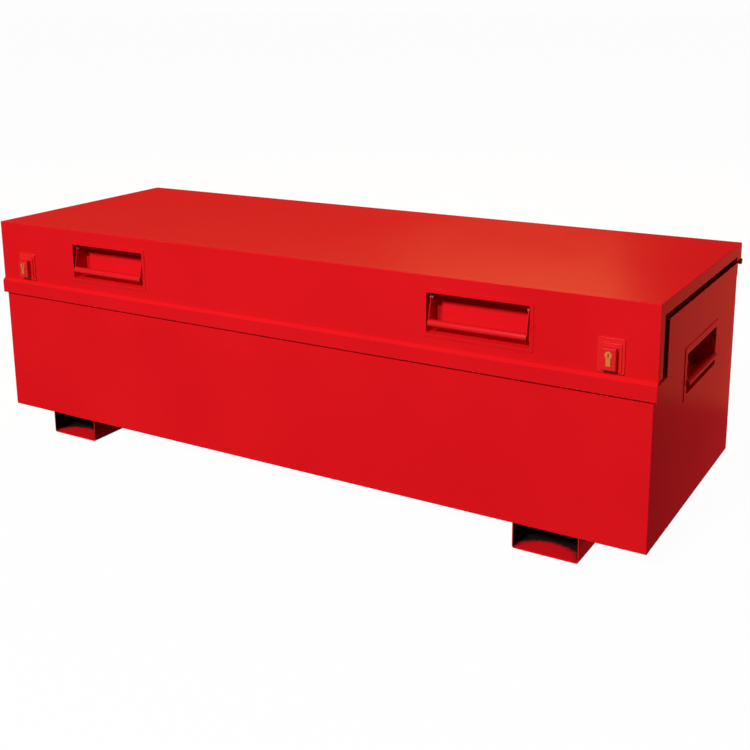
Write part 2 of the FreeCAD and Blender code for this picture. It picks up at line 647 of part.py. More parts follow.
def handle(name, flange, across, back, level, turn):
    """One handle, made facing forward round its own middle and then set on its panel."""
    pan = new_body(f"{name}_handle_pan")
    rim = sketch_on(pan, "XZ_Plane")
    rectangle(
        rim, (f"-(pan_half + {flange})", f"-(pan_rise + {flange})"),
        (f"pan_half + {flange}", f"pan_rise + {flange}"),
    )
    pad(rim, "pan_wall")
    tub = sketch_on(pan, "XZ_Plane")
    rectangle(
        tub, ("-(pan_half + pan_wall)", "-(pan_rise + pan_wall)"),
        ("pan_half + pan_wall", "pan_rise + pan_wall"),
    )
    pad(tub, "pan_depth + pan_wall", backwards=True)
    hollow = sketch_on(pan, "XZ_Plane", "pan_wall")
    rectangle(hollow, ("-pan_half", "-pan_rise"), ("pan_half", "pan_rise"))
    pocket(hollow, "pan_depth + pan_wall")
    corners = [
        (f"{across_sign}(pan_half + {flange})", f"{up_sign}(pan_rise + {flange})")
        for across_sign in ("", "-") for up_sign in ("", "-")
    ]
    round_edges(pan, "pan_corner", *({"x": at, "z": up} for at, up in corners))
    inner_corners = [
        (f"{across_sign}pan_half", f"{up_sign}pan_rise") for across_sign in ("", "-") for up_sign in ("", "-")
    ]
    round_edges(pan, "pan_corner", *({"x": at, "z": up} for at, up in inner_corners))
    pivots = sketch_on(pan, "YZ_Plane")
    circle(pivots, "bail_bore", "pivot_inset", "pivot_up")
    pocket(pivots, "pan_width + 2 * (pan_wall + overrun)", both_ways=True)

    bail = new_body(f"{name}_handle_bail")
    half = "arm_width / 2"
    arm = sketch_on(bail, "YZ_Plane", "arm_inside")
    outline(arm, [
        (f"pivot_inset - {half}", f"pivot_up + {half}"), (f"pivot_inset + {half}", f"pivot_up + {half}"),
        (f"grip_inset + {half}", f"grip_up - {half}"), (f"grip_inset - {half}", f"grip_up - {half}"),
    ])
    mirror(bail, [pad(arm, "arm_thickness")])
    round_edges(
        bail, "arm_width * arm_round_share",
        {"y": f"pivot_inset - {half}", "z": f"pivot_up + {half}"},
        {"y": f"pivot_inset + {half}", "z": f"pivot_up + {half}"},
        {"y": f"grip_inset + {half}", "z": f"grip_up - {half}"},
        {"y": f"grip_inset - {half}", "z": f"grip_up - {half}"},
    )
    grip = sketch_on(bail, "YZ_Plane")
    circle(grip, "grip_diameter / 2", "grip_inset", "grip_up")
    pad(grip, "2 * arm_outside", both_ways=True)
    bore = sketch_on(bail, "YZ_Plane")
    circle(bore, "bail_bore", "pivot_inset", "pivot_up")
    pocket(bore, "pan_width", both_ways=True)

    pins = []
    for side, hand in HANDS.items():
        head_at = "arm_inside - bail_pin_play"
        shank_length = "pan_half + pan_wall + bail_pin_tail - arm_inside + bail_pin_play"
        shank = rod_along_x(
            f"{name}_{side}_shank", "bail_pin_diameter / 2", on_side(hand, head_at),
            on_side(hand, shank_length), "pivot_inset", "pivot_up",
        )
        head = rod_along_x(
            f"{name}_{side}_head", "bail_pin_head / 2", on_side(hand, head_at),
            on_side(-hand, "bail_pin_head_height"), "pivot_inset", "pivot_up",
        )
        pins.append(fuse(f"{name}_{side}_pin", [shank, head]))
    pair = doc.addObject("Part::Compound", f"{name}_handle_pins")
    pair.Links = pins
    for piece in (pan, bail, pair):
        keep(place(piece, across, back, level, UP, turn))


for name, hand in HANDS.items():
    handle(f"lid_{name}", "lid_pan_flange", on_side(hand, "handle_middle"), "front", "handle_level", 0)
    handle(
        f"{name}_end", "end_pan_flange", on_side(hand, "side"), "end_handle_middle", "end_handle_level",
        hand * RIGHT_ANGLE,
    )

# Locks: plate and box on the apron, profile cylinder with its plug, tongue and nut inside, keeper on the rim


def lock(name, hand):
    def set_in_place(piece):
        return keep(place(piece, on_side(hand, "lock_middle"), "front", "lock_level"))

    plate = new_body(f"{name}_lock_plate")
    for width, above, below, thickness in (
        ("plate_width", "plate_above", "plate_below", "plate_thickness"),
        ("step_width", "step_above", "step_below", "step_face"),
    ):
        face = sketch_on(plate, "XZ_Plane")
        rectangle(face, (f"-{width} / 2", minus(below)), (f"{width} / 2", above))
        pad(face, thickness)
        round_edges(plate, "plate_corner", *(
            {"x": across, "z": up}
            for across in (f"{width} / 2", f"-{width} / 2") for up in (above, minus(below))
        ))
        round_edges(plate, "plate_round", {"y": minus(thickness), "z": above})
    way = sketch_on(plate, "XZ_Plane", "step_face")
    circle(way, "plug_way")
    pocket(way, "step_face + overrun")
    set_in_place(plate)

    case = new_body(f"{name}_lock_box")
    shell = sketch_on(case, "XZ_Plane", "step_face")
    rectangle(shell, ("-lock_box_width / 2", "-lock_box_below"), ("lock_box_width / 2", "lock_box_above"))
    pad(shell, "lock_box_depth")
    face = "-(step_face + lock_box_depth)"
    round_edges(
        case, "lock_box_radius",
        {"y": face, "z": "lock_box_above"}, {"y": face, "z": "-lock_box_below"},
        {"y": face, "x": "lock_box_width / 2"}, {"y": face, "x": "-lock_box_width / 2"},
        {"x": "lock_box_width / 2", "z": "lock_box_above"},
        {"x": "-lock_box_width / 2", "z": "lock_box_above"},
    )
    hollow = sketch_on(case, "XZ_Plane", "step_face")
    rectangle(
        hollow, ("lock_box_wall - lock_box_width / 2", "lock_box_wall - lock_box_below"),
        ("lock_box_width / 2 - lock_box_wall", "lock_box_above - lock_box_wall"),
    )
    pocket(hollow, "lock_box_depth - lock_box_wall", backwards=True)
    round_way = sketch_on(case, "XZ_Plane", "lock_reach")
    circle(round_way, "cylinder_round / 2 + running_clearance")
    pocket(round_way, "lock_box_depth")
    stem_way = sketch_on(case, "XZ_Plane", "lock_reach")
    rectangle(
        stem_way, ("-(cylinder_stem / 2 + running_clearance)", "-(cylinder_below + running_clearance)"),
        ("cylinder_stem / 2 + running_clearance", "0"),
    )
    pocket(stem_way, "lock_box_depth")
    set_in_place(case)

    cylinder = new_body(f"{name}_lock_cylinder")
    head = sketch_on(cylinder, "XZ_Plane", "step_face")
    circle(head, "cylinder_round / 2")
    pad(head, "lock_box_depth + cylinder_proud")
    stem = sketch_on(cylinder, "XZ_Plane", "step_face")
    rectangle(stem, ("-cylinder_stem / 2", "-cylinder_below"), ("cylinder_stem / 2", "0"))
    pad(stem, "lock_box_depth + cylinder_proud")
    bore = sketch_on(cylinder, "XZ_Plane", "lock_reach + overrun")
    circle(bore, "plug_bore")
    pocket(bore, "lock_reach + overrun")
    set_in_place(cylinder)

    plug = new_body(f"{name}_lock_plug")
    bar = sketch_on(plug, "XZ_Plane", "lock_reach")
    circle(bar, "plug_diameter / 2")
    pad(bar, "lock_reach + plug_end", backwards=True)
    keyway = sketch_on(plug, "XZ_Plane", "lock_reach")
    rectangle(keyway, ("-keyway_width / 2", "-keyway_height / 2"), ("keyway_width / 2", "keyway_height / 2"))
    pocket(keyway, "keyway_depth")
    set_in_place(plug)

    tongue = new_body(f"{name}_lock_tongue")
    bar = sketch_on(tongue, "XZ_Plane", "-tongue_back")
    rectangle(bar, ("-tongue_width / 2", "-tongue_length"), ("tongue_width / 2", "tongue_width / 2"))
    circle(bar, "plug_bore")
    pad(bar, "tongue_thickness", backwards=True)
    round_edges(tongue, "plate_corner", *(
        {"x": across, "z": up}
        for across in ("tongue_width / 2", "-tongue_width / 2")
        for up in ("tongue_width / 2", "-tongue_length")
    ))
    set_in_place(tongue)

    nut = new_body(f"{name}_lock_nut")
    hexagon = sketch_on(nut, "XZ_Plane", "-nut_back")
    point = "nut_width / sqrt(3)"
    outline(hexagon, [
        (point, "0"), (f"{point} / 2", "nut_width / 2"), (f"-{point} / 2", "nut_width / 2"),
        (f"-{point}", "0"), (f"-{point} / 2", "-nut_width / 2"), (f"{point} / 2", "-nut_width / 2"),
    ])
    circle(hexagon, "plug_bore")
    pad(hexagon, "nut_height", backwards=True)
    set_in_place(nut)

    keeper = new_body(f"{name}_lock_keeper")
    hook = sketch_on(keeper, "XZ_Plane", "-(sheet + keeper_front)")
    post_far = "keeper_post + keeper_steel"
    outline(hook, [(on_side(-hand, across), up) for across, up in (
        ("keeper_start", "keeper_tab"), ("keeper_post", "keeper_tab"), ("keeper_post", "keeper_sill"),
        (f"{post_far} + keeper_foot", "keeper_sill"),
        (f"{post_far} + keeper_foot", "keeper_sill + keeper_steel"),
        (post_far, "keeper_sill + keeper_steel"), (post_far, "keeper_tab + keeper_steel"),
        ("keeper_start", "keeper_tab + keeper_steel"),
    )])
    pad(hook, "keeper_depth", backwards=True)
    set_in_place(keeper)


for name, hand in HANDS.items():
    lock(name, hand)

# Gas struts: both ends lie equally far from the hinge axis, so a strut turns half as far as the lid


def strut(name, hand):
    line = on_side(hand, "strut_line")

    def add_eye(body, level):
        """The eye and the neck that joins it to the rest of the strut."""
        eye = sketch_on(body, "YZ_Plane")
        circle(eye, "eye_diameter / 2", "0", level)
        pad(eye, "eye_thickness", both_ways=True)
        bore = sketch_on(body, "YZ_Plane")
        circle(bore, "stud_bore", "0", level)
        pocket(bore, "eye_thickness + 2 * overrun", both_ways=True)

    tube = new_body(f"{name}_strut_tube")
    profile = sketch_on(tube, "XZ_Plane")
    mouth = "rod_diameter / 2 + free_clearance"
    outline(profile, [
        ("0", "eye_diameter / 2 - stud_play"), ("neck_diameter / 2", "eye_diameter / 2 - stud_play"),
        ("neck_diameter / 2", "tube_start"),
        ("tube_diameter / 2", "tube_start"), ("tube_diameter / 2", "tube_end"), (mouth, "tube_end"),
        (mouth, "tube_end - gland_length"), ("tube_bore", "tube_end - gland_length"),
        ("tube_bore", "tube_start + tube_floor"), ("0", "tube_start + tube_floor"),
    ])
    revolve(profile)
    add_eye(tube, "0")

    rod = new_body(f"{name}_strut_rod")
    profile = sketch_on(rod, "XZ_Plane")
    piston = "tube_bore - piston_play"
    eye_top = "strut_closed - eye_diameter / 2 + stud_play"
    outline(profile, [
        ("0", "piston_low"), (piston, "piston_low"), (piston, "piston_low + piston_length"),
        ("rod_diameter / 2", "piston_low + piston_length"), ("rod_diameter / 2", eye_top), ("0", eye_top),
    ])
    revolve(profile)
    add_eye(rod, "strut_closed")

    for piece in (tube, rod):
        keep(place(piece, line, "lower_back", "lower_level", ALONG, amount_of("strut_tilt")))
        piece.setExpression("Placement.Rotation.Angle", formula("strut_tilt"))

    # The lower bracket is welded to the end panel and its stud points inward
    wall = on_side(hand, "side - sheet")
    inner_face = on_side(hand, "side - sheet - bracket_steel")
    low = ("lower_back - bracket_width / 2", "lower_level - bracket_height / 2")
    high = ("lower_back + bracket_width / 2", "lower_level + bracket_height / 2")
    near, far = (inner_face, wall) if hand > 0 else (wall, inner_face)
    plate = block(f"{name}_lower_plate", (near, *low), (far, *high))
    stud_end = "strut_line - eye_thickness / 2 - stud_play"
    stud = rod_along_x(
        f"{name}_lower_stud", "stud_diameter / 2", inner_face,
        on_side(-hand, f"side - sheet - bracket_steel - ({stud_end})"), "lower_back", "lower_level",
    )
    head = rod_along_x(
        f"{name}_lower_head", "stud_head / 2", on_side(hand, stud_end), on_side(-hand, "stud_head_height"),
        "lower_back", "lower_level",
    )
    keep(fuse(f"{name}_strut_lower_bracket", [plate, stud, head]))

    # The upper bracket hangs from the lid top, inside the strut, and its stud points outward
    plate_outer = "strut_line - eye_thickness / 2 - stud_play"
    plate_inner = f"{plate_outer} - bracket_steel"
    foot_inner = f"{plate_inner} - bracket_foot"
    span = ("upper_back - bracket_width / 2", "upper_back + bracket_width / 2")

    def plate_between(label, inner, outer, lower):
        ends = (on_side(hand, inner), on_side(hand, outer))
        near, far = ends if hand > 0 else reversed(ends)
        return block(label, (near, span[0], lower), (far, span[1], "ceiling"))

    hanger = plate_between(f"{name}_upper_plate", plate_inner, plate_outer, "upper_level - stud_head")
    foot = plate_between(f"{name}_upper_foot", foot_inner, plate_inner, "ceiling - bracket_steel")
    stud_length = "eye_thickness + 2 * stud_play"
    stud = rod_along_x(
        f"{name}_upper_stud", "stud_diameter / 2", on_side(hand, plate_outer), on_side(hand, stud_length),
        "upper_back", "upper_level",
    )
    head = rod_along_x(
        f"{name}_upper_head", "stud_head / 2", on_side(hand, f"{plate_outer} + {stud_length}"),
        on_side(hand, "stud_head_height"), "upper_back", "upper_level",
    )
    keep(fuse(f"{name}_strut_upper_bracket", [hanger, foot, stud, head]))


for name, hand in HANDS.items():
    strut(name, hand)

# Every piece must be whole before any file is written
doc.recompute()
for piece in doc.Objects:
    if "Invalid" in piece.State or "Error" in piece.State:
        raise RuntimeError(f"{piece.Name}: {piece.State}")
for piece in nodes:
    if piece.Shape.isNull() or not piece.Shape.isValid() or not piece.Shape.Solids:
        raise RuntimeError(f"{piece.Label}: no sound solid")

os.makedirs("parts", exist_ok=True)
for piece in nodes:
    piece.Shape.exportStep(f"parts/{piece.Label}.step")
print(len(nodes), "pieces written")
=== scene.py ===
import math

import bmesh
import bpy
from mathutils import Matrix, Vector


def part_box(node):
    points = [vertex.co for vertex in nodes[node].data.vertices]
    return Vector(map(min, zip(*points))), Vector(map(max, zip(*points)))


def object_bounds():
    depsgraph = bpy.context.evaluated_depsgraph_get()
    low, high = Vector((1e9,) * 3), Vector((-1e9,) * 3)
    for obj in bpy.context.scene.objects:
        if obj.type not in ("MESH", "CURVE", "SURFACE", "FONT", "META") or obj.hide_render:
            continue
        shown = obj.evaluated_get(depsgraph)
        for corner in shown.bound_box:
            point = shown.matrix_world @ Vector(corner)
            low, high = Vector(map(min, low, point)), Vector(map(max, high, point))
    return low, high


# Red steel jobsite box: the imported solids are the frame, and each section below dresses one group of them.
# Metres, in the frame of the solids: X along the box, Y to the back, Z up, the ground at zero.
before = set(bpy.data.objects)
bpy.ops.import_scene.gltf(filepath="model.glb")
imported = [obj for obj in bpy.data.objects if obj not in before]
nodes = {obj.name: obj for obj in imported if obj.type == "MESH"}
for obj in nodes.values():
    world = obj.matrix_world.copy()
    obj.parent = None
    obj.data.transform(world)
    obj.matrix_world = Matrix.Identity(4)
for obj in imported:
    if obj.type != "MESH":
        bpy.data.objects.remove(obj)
cad_low, cad_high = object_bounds()

# Chest panels
# Two-millimetre steel sheet, folded, welded and then powder coated in one colour with the rest of the box.
# The floor, the front with its folded rim, the rear and the two ends are all carried over from the solids.
MILLIMETRE = 0.001
SRGB_FULL = 255            # the sRGB curve: the highest value of a channel,
SRGB_KNEE = 0.04045        # the share of it up to which the curve is a straight line,
SRGB_LINE = 12.92          # how steep that line is,
SRGB_SHIFT = 0.055         # and the shift and the power of the rest
SRGB_POWER = 2.4


def linear(hex_colour):
    """An sRGB hex colour as the linear colour that a shader takes."""
    colour = []
    for value in bytes.fromhex(hex_colour[1:]):
        share = value / SRGB_FULL
        if share <= SRGB_KNEE:
            colour.append(share / SRGB_LINE)
        else:
            colour.append(((share + SRGB_SHIFT) / (1 + SRGB_SHIFT)) ** SRGB_POWER)
    return colour + [1.0]


def add(tree, kind, settings=None, **inputs):
    """One node: settings are its own properties, and inputs are values, or the sockets or nodes that feed it.
    A node gives its first output. _0, _1 and _2 are inputs by their place, where several share a name."""
    node = tree.nodes.new(kind)
    for name, value in (settings or {}).items():
        setattr(node, name, value)
    for name, value in inputs.items():
        place = name[1:]
        socket = node.inputs[int(place) if place.isdigit() else name.replace("_", " ")]
        if isinstance(value, bpy.types.Node):
            value = next(output for output in value.outputs if output.enabled)
        if isinstance(value, bpy.types.NodeSocket):
            tree.links.new(value, socket)
        else:
            socket.default_value = value
    return node


def new_material(name):
    """An empty material: itself, its node tree, and the Object coordinates that its patterns lie in."""
    material = bpy.data.materials.new(name)
    material.use_nodes = True
    tree = material.node_tree
    tree.nodes.clear()
    place = add(tree, "ShaderNodeTexCoord").outputs["Object"]
    return material, tree, place


def per_metre(size_mm):
    """The scale of a noise whose grain is that many millimetres wide."""
    return 1.0 / (size_mm * MILLIMETRE)


# Polyester powder coat, sprayed dry and baked on the sheet: an even strong red with a soft gloss. The melt
# leaves orange peel, and the sheet under it is never quite flat, which bends the reflections a little.
COAT_RED = "#D4151B"
COAT_RED_THIN = "#CF1219"
COAT_INDEX = 1.05          # refractive index, low because the photograph shows hardly any reflection
COAT_SMOOTH = 0.18         # roughness where the coat is thick,
COAT_ROUGH = 0.25          # and where it is thin
# a dark colour painted inside the fork channels as shade
PAINTED_SHADE_DARK = "#1B1413"
NOISE_LOW = 0.3            # most of a noise's values lie between these two
NOISE_HIGH = 0.7
CLOUD_MM = 420.0           # thicker and thinner passes of the spray gun
CLOUD_DETAIL = 3.0
CLOUD_LOW = 0.35           # the noise values between which one red turns into the other
CLOUD_HIGH = 0.65
WAVE_MM = 260.0            # hand-sized hollows that welding leaves in the sheet
WAVE_HEIGHT_MM = 0.5
WAVE_DETAIL = 1.0
WAVE_FALL = 0.4            # how strong each finer wave is, as a share of the coarser one
PEEL_MM = 7.0              # real orange peel is 2 to 4 mm wide, drawn coarser so that it shows
PEEL_HEIGHT_MM = 0.012


def red_coat(name, index, painted_shade=None):
    """The powder coat with a refractive index. The last argument, where it is given, makes the share of a
    dark colour that is painted in as shade."""
    material, tree, place = new_material(name)
    cloud = add(tree, "ShaderNodeTexNoise", Vector=place, Scale=per_metre(CLOUD_MM), Detail=CLOUD_DETAIL)
    thin = add(tree, "ShaderNodeMapRange", Value=cloud, From_Min=CLOUD_LOW, From_Max=CLOUD_HIGH)
    colour = add(
        tree, "ShaderNodeMix", {"data_type": "RGBA"},
        Factor=thin, A=linear(COAT_RED), B=linear(COAT_RED_THIN),
    )
    # Where a mask is given, a dark colour is painted in as shade.
    if painted_shade:
        colour = add(
            tree, "ShaderNodeMix", {"data_type": "RGBA"},
            Factor=painted_shade(tree, place), A=colour, B=linear(PAINTED_SHADE_DARK),
        )
    gloss = add(
        tree, "ShaderNodeMapRange", Value=cloud,
        From_Min=NOISE_LOW, From_Max=NOISE_HIGH, To_Min=COAT_SMOOTH, To_Max=COAT_ROUGH,
    )
    wave = add(
        tree, "ShaderNodeTexNoise",
        Vector=place, Scale=per_metre(WAVE_MM), Detail=WAVE_DETAIL, Roughness=WAVE_FALL,
    )
    hollows = add(tree, "ShaderNodeBump", Distance=WAVE_HEIGHT_MM * MILLIMETRE, Height=wave)
    peel = add(tree, "ShaderNodeTexNoise", Vector=place, Scale=per_metre(PEEL_MM))
    skin = add(tree, "ShaderNodeBump", Distance=PEEL_HEIGHT_MM * MILLIMETRE, Height=peel, Normal=hollows)
    shader = add(
        tree, "ShaderNodeBsdfPrincipled", Base_Color=colour, Roughness=gloss, Normal=skin, IOR=index,
    )
    add(tree, "ShaderNodeOutputMaterial", Surface=shader)
    return material


def finish_in(material, *node_names):
    """Gives these solids one material in place of their plain one."""
    for node_name in node_names:
        mesh = nodes[node_name].data
        mesh.materials.clear()
        mesh.materials.append(material)


powder_coat = red_coat("powder_coat", COAT_INDEX)
finish_in(powder_coat, "floor_panel", "front_panel", "rear_panel", "left_end_panel", "right_end_panel")

# Fork channels
# Four-millimetre folded channels welded across the underside, open front and back for fork tines.
# They are the box's feet. Deep inside them the coat's colour is darkened with painted shade, and it stays red
# only on their outsides and near both mouths.
fork_low, fork_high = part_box("right_fork_channel")
fork_middle = (fork_low + fork_high) / 2
fork_half = (fork_high - fork_low) / 2
FORK_WALL = 4.0 * MILLIMETRE
UNSHADED_MOUTH_HALF = 84.0 * MILLIMETRE      # the patch on the floor of a mouth that is left without painted shade: half its width,
UNSHADED_MOUTH_DEPTH = 66.0 * MILLIMETRE     # how far it reaches in
UNSHADED_MOUTH_HEIGHT = 22.0 * MILLIMETRE    # and how far up the walls
CHANNEL_SHADE_GRAIN_MM = 14.0
CHANNEL_SHADE_DETAIL = 3.0
CHANNEL_SHADE_RAGGED = 0.5                  # how much the grain adds to the reach, which frays the patch's edge
CHANNEL_SHADE_STARTS = 0.85                 # the sum up to which there is no painted shade,
CHANNEL_SHADE_FULL = 1.45                   # and from which the painted shade is full


def channel_painted_shade(tree, place):
    """The share of painted shade: one deep inside the channels, nought on their outsides and on the floor
    near both mouths.
    """
    axes = add(tree, "ShaderNodeSeparateXYZ", Vector=place)
    height = axes.outputs["Z"]
    from_centre = add(tree, "ShaderNodeMath", {"operation": "ABSOLUTE"}, _0=axes.outputs["X"])
    off_middle = add(tree, "ShaderNodeMath", {"operation": "SUBTRACT"}, _0=from_centre, _1=fork_middle.x)
    across = add(tree, "ShaderNodeMath", {"operation": "ABSOLUTE"}, _0=off_middle)
    backwards = add(tree, "ShaderNodeMath", {"operation": "SUBTRACT"}, _0=axes.outputs["Y"], _1=fork_middle.y)
    along = add(tree, "ShaderNodeMath", {"operation": "ABSOLUTE"}, _0=backwards)
    depth = add(tree, "ShaderNodeMath", {"operation": "SUBTRACT"}, _0=fork_half.y, _1=along)
    reach = 0.0
    for distance, limit in ((across, UNSHADED_MOUTH_HALF), (depth, UNSHADED_MOUTH_DEPTH), (height, UNSHADED_MOUTH_HEIGHT)):
        share = add(tree, "ShaderNodeMath", {"operation": "DIVIDE"}, _0=distance, _1=limit)
        reach = add(tree, "ShaderNodeMath", {"operation": "MULTIPLY_ADD"}, _0=share, _1=share, _2=reach)
    grain = add(
        tree, "ShaderNodeTexNoise", Vector=place, Scale=per_metre(CHANNEL_SHADE_GRAIN_MM), Detail=CHANNEL_SHADE_DETAIL,
    )
    ragged = add(
        tree, "ShaderNodeMath", {"operation": "MULTIPLY_ADD"}, _0=grain, _1=CHANNEL_SHADE_RAGGED, _2=reach,
    )
    faded = add(
        tree, "ShaderNodeMapRange", {"interpolation_type": "SMOOTHSTEP"},
        Value=ragged, From_Min=CHANNEL_SHADE_STARTS, From_Max=CHANNEL_SHADE_FULL,
    )
    inner_wall = fork_half.x - FORK_WALL / 2
    between_walls = add(tree, "ShaderNodeMath", {"operation": "LESS_THAN"}, _0=across, _1=inner_wall)
    above_floor = add(tree, "ShaderNodeMath", {"operation": "GREATER_THAN"}, _0=height, _1=FORK_WALL / 2)
    inside = add(tree, "ShaderNodeMath", {"operation": "MULTIPLY"}, _0=between_walls, _1=above_floor)
    return add(tree, "ShaderNodeMath", {"operation": "MULTIPLY"}, _0=inside, _1=faded)


# The fork channels' coat, with painted shade deep inside them.
fork_coat = red_coat("fork_coat", COAT_INDEX, channel_painted_shade)
finish_in(fork_coat, "left_fork_channel", "right_fork_channel")

# Rain channels and rim seals
# A ledge and an upstand of folded sheet inside each end lead rain away, coated with the rest of the box.
# A black rubber edge sits on each upstand, and the lid closes over it.
finish_in(powder_coat, "left_rim_channel", "right_rim_channel")

# Cellular rubber, extruded: black, dull, with a fine open skin.
RUBBER_BLACK = "#1A1A1B"
RUBBER_ROUGH = 0.75
CELL_MM = 2.5
CELL_DEPTH_MM = 0.1
CELL_DETAIL = 3.0
rubber, tree, place = new_material("rubber")
cells = add(tree, "ShaderNodeTexNoise", Vector=place, Scale=per_metre(CELL_MM), Detail=CELL_DETAIL)
pores = add(tree, "ShaderNodeBump", Distance=CELL_DEPTH_MM * MILLIMETRE, Height=cells)
shader = add(
    tree, "ShaderNodeBsdfPrincipled", Base_Color=linear(RUBBER_BLACK), Roughness=RUBBER_ROUGH, Normal=pores,
)
add(tree, "ShaderNodeOutputMaterial", Surface=shader)
finish_in(rubber, "left_rim_seal", "right_rim_seal")

# Continuous hinge
# Two leaves of steel with alternating knuckles, welded to the rear panel and the lid and coated with them.
# One long zinc-plated pin runs through all the knuckles.
finish_in(powder_coat, "hinge_body_leaf", "hinge_lid_leaf")

# Zinc-plated steel: mid grey, satin, with the faint clouds that the plating bath leaves.
ZINC_DARK = "#5E5C58"
ZINC_PALE = "#7A7873"
ZINC_SMOOTH = 0.45
ZINC_ROUGH = 0.62
BATH_CLOUD_MM = 9.0
BATH_CLOUD_DETAIL = 4.0
zinc, tree, place = new_material("zinc")
clouds = add(
    tree, "ShaderNodeTexNoise", Vector=place, Scale=per_metre(BATH_CLOUD_MM), Detail=BATH_CLOUD_DETAIL,
)
colour = add(
    tree, "ShaderNodeMix", {"data_type": "RGBA"}, Factor=clouds, A=linear(ZINC_DARK), B=linear(ZINC_PALE),
)
gloss = add(
    tree, "ShaderNodeMapRange", Value=clouds,
    From_Min=NOISE_LOW, From_Max=NOISE_HIGH, To_Min=ZINC_SMOOTH, To_Max=ZINC_ROUGH,
)
shader = add(tree, "ShaderNodeBsdfPrincipled", Base_Color=colour, Roughness=gloss, Metallic=1.0)
add(tree, "ShaderNodeOutputMaterial", Surface=shader)
finish_in(zinc, "hinge_pin")

# Lid
# One shell of folded sheet, with a deep apron and a stepped-out lip at the front.
# Two hat-section ribs are welded under its top, and all of it is coated together.
finish_in(powder_coat, "lid_shell", "lid_front_rib", "lid_rear_rib")

# Sunk handles
# A pressed pan in its panel, a bail of flat arms and a round grip, and plain zinc-plated pivot pins.
# The bails on the lid are coated by themselves, thicker and glossier than the sheet.
SIDES = ("left", "right")
GLOSS_INDEX = 1.42         # refractive index
gloss_coat = red_coat("gloss_coat", GLOSS_INDEX)
for name in SIDES:
    finish_in(powder_coat, f"lid_{name}_handle_pan", f"{name}_end_handle_pan", f"{name}_end_handle_bail")
    finish_in(gloss_coat, f"lid_{name}_handle_bail")
    finish_in(zinc, f"lid_{name}_handle_pins", f"{name}_end_handle_pins")

# Locks
# A stepped plate and a small lock box stand on the apron, in the gloss coat of the bails.
# Each holds a brass profile cylinder, whose plug turns a zinc-plated tongue under a keeper on the chest.

# Drawn brass, turned and left dull: yellow brown, darker where it has tarnished.
BRASS_CLEAN = "#E4AC6C"
BRASS_TARNISHED = "#BE8650"
BRASS_ROUGH = 0.5
TARNISH_MM = 6.0
TARNISH_DETAIL = 4.0
brass, tree, place = new_material("brass")
tarnish = add(
    tree, "ShaderNodeTexNoise", Vector=place, Scale=per_metre(TARNISH_MM), Detail=TARNISH_DETAIL,
)
colour = add(
    tree, "ShaderNodeMix", {"data_type": "RGBA"},
    Factor=tarnish, A=linear(BRASS_CLEAN), B=linear(BRASS_TARNISHED),
)
shader = add(tree, "ShaderNodeBsdfPrincipled", Base_Color=colour, Roughness=BRASS_ROUGH, Metallic=1.0)
add(tree, "ShaderNodeOutputMaterial", Surface=shader)

for name in SIDES:
    finish_in(gloss_coat, f"{name}_lock_plate", f"{name}_lock_box")
    finish_in(brass, f"{name}_lock_cylinder", f"{name}_lock_plug")
    finish_in(zinc, f"{name}_lock_tongue", f"{name}_lock_nut", f"{name}_lock_keeper")

# Gas struts
# A black enamelled tube on the chest and a chromed rod on the lid, which slides in the tube.
# Each turns on a stud of its zinc-plated bracket.

# Baked enamel on drawn tube: near black with an even satin gloss.
ENAMEL_BLACK = "#161618"
ENAMEL_ROUGH = 0.3
RIPPLE_MM = 5.0
RIPPLE_HEIGHT_MM = 0.01
enamel, tree, place = new_material("enamel")
ripple = add(tree, "ShaderNodeTexNoise", Vector=place, Scale=per_metre(RIPPLE_MM))
skin = add(tree, "ShaderNodeBump", Distance=RIPPLE_HEIGHT_MM * MILLIMETRE, Height=ripple)
shader = add(
    tree, "ShaderNodeBsdfPrincipled", Base_Color=linear(ENAMEL_BLACK), Roughness=ENAMEL_ROUGH, Normal=skin,
)
add(tree, "ShaderNodeOutputMaterial", Surface=shader)

# Hard chrome on a ground rod: bright and mirror smooth, with a faint film of oil.
CHROME_BRIGHT = "#D5D6D8"
CHROME_SMOOTH = 0.08
CHROME_OILED = 0.16
OIL_MM = 12.0
chrome, tree, place = new_material("chrome")
oil = add(tree, "ShaderNodeTexNoise", Vector=place, Scale=per_metre(OIL_MM))
gloss = add(
    tree, "ShaderNodeMapRange", Value=oil,
    From_Min=NOISE_LOW, From_Max=NOISE_HIGH, To_Min=CHROME_SMOOTH, To_Max=CHROME_OILED,
)
shader = add(
    tree, "ShaderNodeBsdfPrincipled", Base_Color=linear(CHROME_BRIGHT), Roughness=gloss, Metallic=1.0,
)
add(tree, "ShaderNodeOutputMaterial", Surface=shader)

for name in SIDES:
    finish_in(enamel, f"{name}_strut_tube")
    finish_in(chrome, f"{name}_strut_rod")
    finish_in(zinc, f"{name}_strut_lower_bracket", f"{name}_strut_upper_bracket")

# Floor
# A plain white studio floor that runs past the edge of the picture and keeps the box's soft shadow.
# In reflections it shows painted colours instead: a painted grey shade near the box, and a painted warm
# reflection further out.
FLOOR_SIZE = 240.0
WHITE = "#FFFFFF"
PAPER_SEEN = "#F2F2F2"
PAPER_FOR_BOX = "#383838"  # dim, so that little light comes back up to the box's dark underside
SEEN_GLOW = 0.975          # how much of the seen floor is its own white, so that only a faint shadow is left,
MIRRORED_GLOW = 1.0        # and how much of the mirrored floor is its painted grey shade and painted warm reflection
PAINTED_SHADE_ENDS = 0.60          # how far the painted shade runs past the box,
PAINTED_SHADE_FADES = 0.22         # and over how much of that it fades
# a painted shade and a painted warm reflection, which the floor shows only in reflections
PAINTED_SHADE_GREY = "#505050"
PAINTED_WARM_REFLECTION = "#FF9A75"

scene = bpy.context.scene
floor_shape = bmesh.new()
bmesh.ops.create_grid(floor_shape, x_segments=1, y_segments=1, size=FLOOR_SIZE / 2)
floor_mesh = bpy.data.meshes.new("floor")
floor_shape.to_mesh(floor_mesh)
floor_shape.free()
floor = bpy.data.objects.new("floor", floor_mesh)
scene.collection.objects.link(floor)


